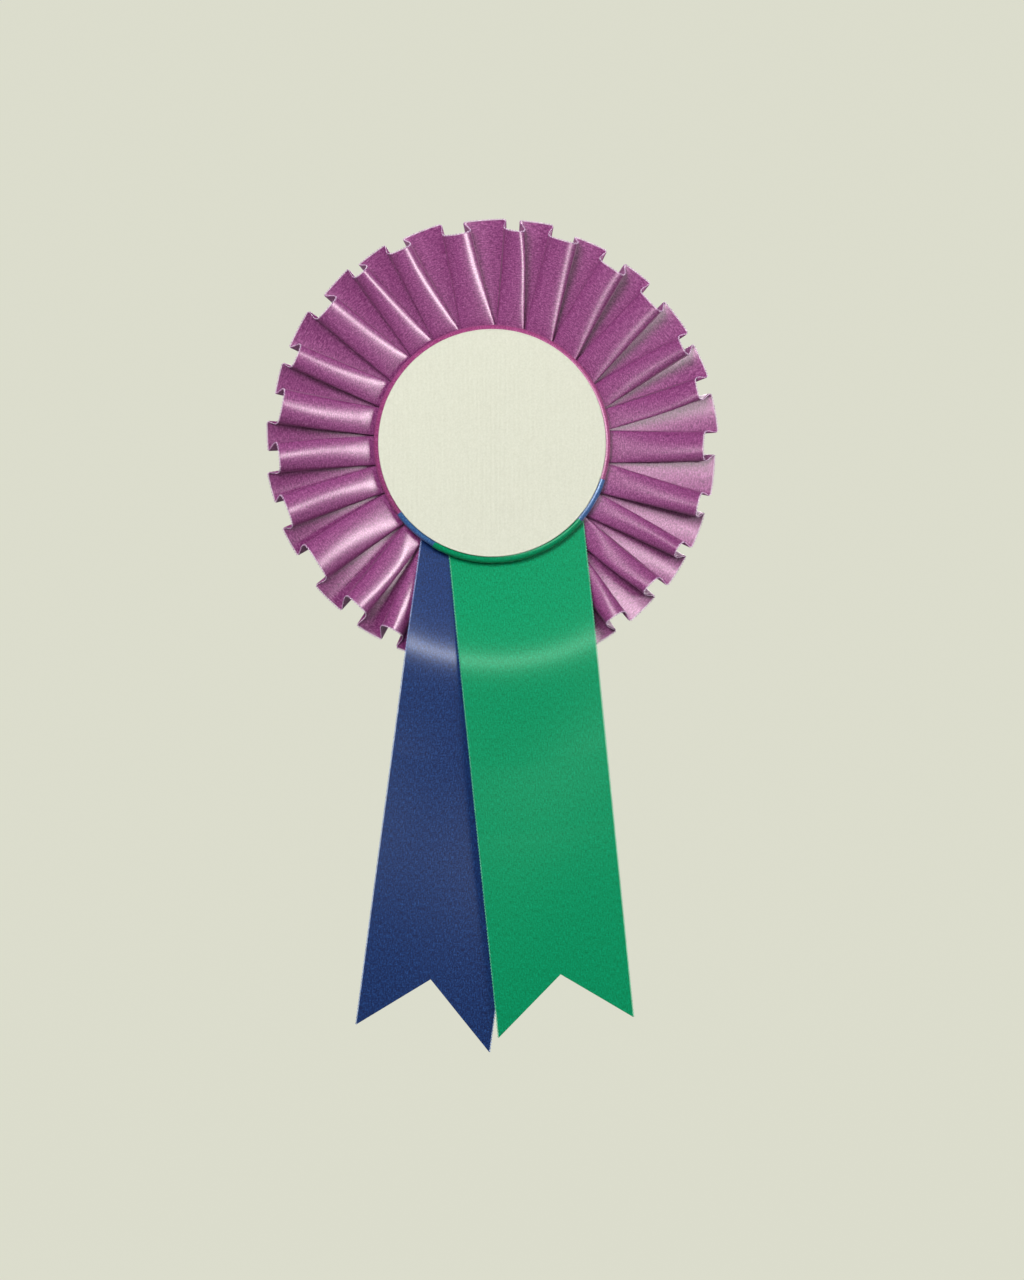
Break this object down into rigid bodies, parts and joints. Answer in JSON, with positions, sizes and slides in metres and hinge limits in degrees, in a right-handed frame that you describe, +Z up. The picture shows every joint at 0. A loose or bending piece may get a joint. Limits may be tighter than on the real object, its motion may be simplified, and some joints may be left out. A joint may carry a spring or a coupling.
{
  "type": "award rosette ribbon",
  "caption": "Pleated satin rosette with a blank card face on a covered button, two fishtail ribbons and a brooch pin.",
  "frame": {"origin": "middle of the round head on the rear face of its rear card, where the head lies against a garment", "axes": "+Z up along the head towards the top, away from the hanging tails; the blank face looks towards -Y; +X to the right as seen from the front"},
  "size_m": [0.127, 0.0183, 0.2349],
  "materials": {
    "purple_satin": "satin ribbon, sheen along its length",
    "blue_satin": "satin ribbon, sheen along its length",
    "green_satin": "satin ribbon, sheen along its length",
    "cream_card": "uncoated ribbed card",
    "grey_board": "uncoated grey board",
    "white_card": "smooth matt card",
    "backing_paper": "plain paper",
    "wadding": "polyester wadding",
    "hot_glue": "hot-melt glue",
    "foam_tape": "double-sided foam tape",
    "nickel_steel": "nickel-plated steel",
    "needle_steel": "polished nickel-plated wire"
  },
  "bodies": {
    "rosette": {"rear_card": "white_card", "rear_glue": "hot_glue", "foundation_card": "grey_board", "pleated_ribbon": "purple_satin", "pleat_staples": "nickel_steel", "tail_staples": "nickel_steel", "foam_pad": "wadding", "button_core": "grey_board", "cover_backing": "backing_paper", "button_cover": "purple_satin", "blue_band": "blue_satin", "green_band": "green_satin", "button_glue": "hot_glue", "face_glue": "hot_glue", "face_disc": "cream_card", "blue_tail_tab": "blue_satin", "green_tail_tab": "green_satin", "bar_pad": "foam_tape", "brooch_bar": "nickel_steel", "hinge_rivet": "nickel_steel", "catch_housing": "nickel_steel"},
    "tail_blue": {"blue_tail": "blue_satin"},
    "tail_green": {"green_tail": "green_satin"},
    "needle": {"needle": "needle_steel"},
    "catch_roller": {"catch_roller": "nickel_steel"}
  },
  "joints": [
    {"name": "blue_tail_bend", "type": "hinge", "parent": "rosette", "child": "tail_blue", "pos_m": [0, -0.0047, -0.03445], "axis": [-1, 0, 0], "range_deg": [0, 50]},
    {"name": "green_tail_bend", "type": "hinge", "parent": "tail_blue", "child": "tail_green", "pos_m": [0, -0.0047, -0.03445], "axis": [-1, 0, 0], "range_deg": [0, 40]},
    {"name": "needle_hinge", "type": "hinge", "parent": "rosette", "child": "needle", "pos_m": [0.0135, 0.0038, 0.014], "axis": [0, 0, -1], "range_deg": [0, 75]},
    {"name": "catch_roll", "type": "hinge", "parent": "rosette", "child": "catch_roller", "pos_m": [-0.013, 0.0038, 0.014], "axis": [1, 0, 0], "range_deg": [0, 110]}
  ]
}
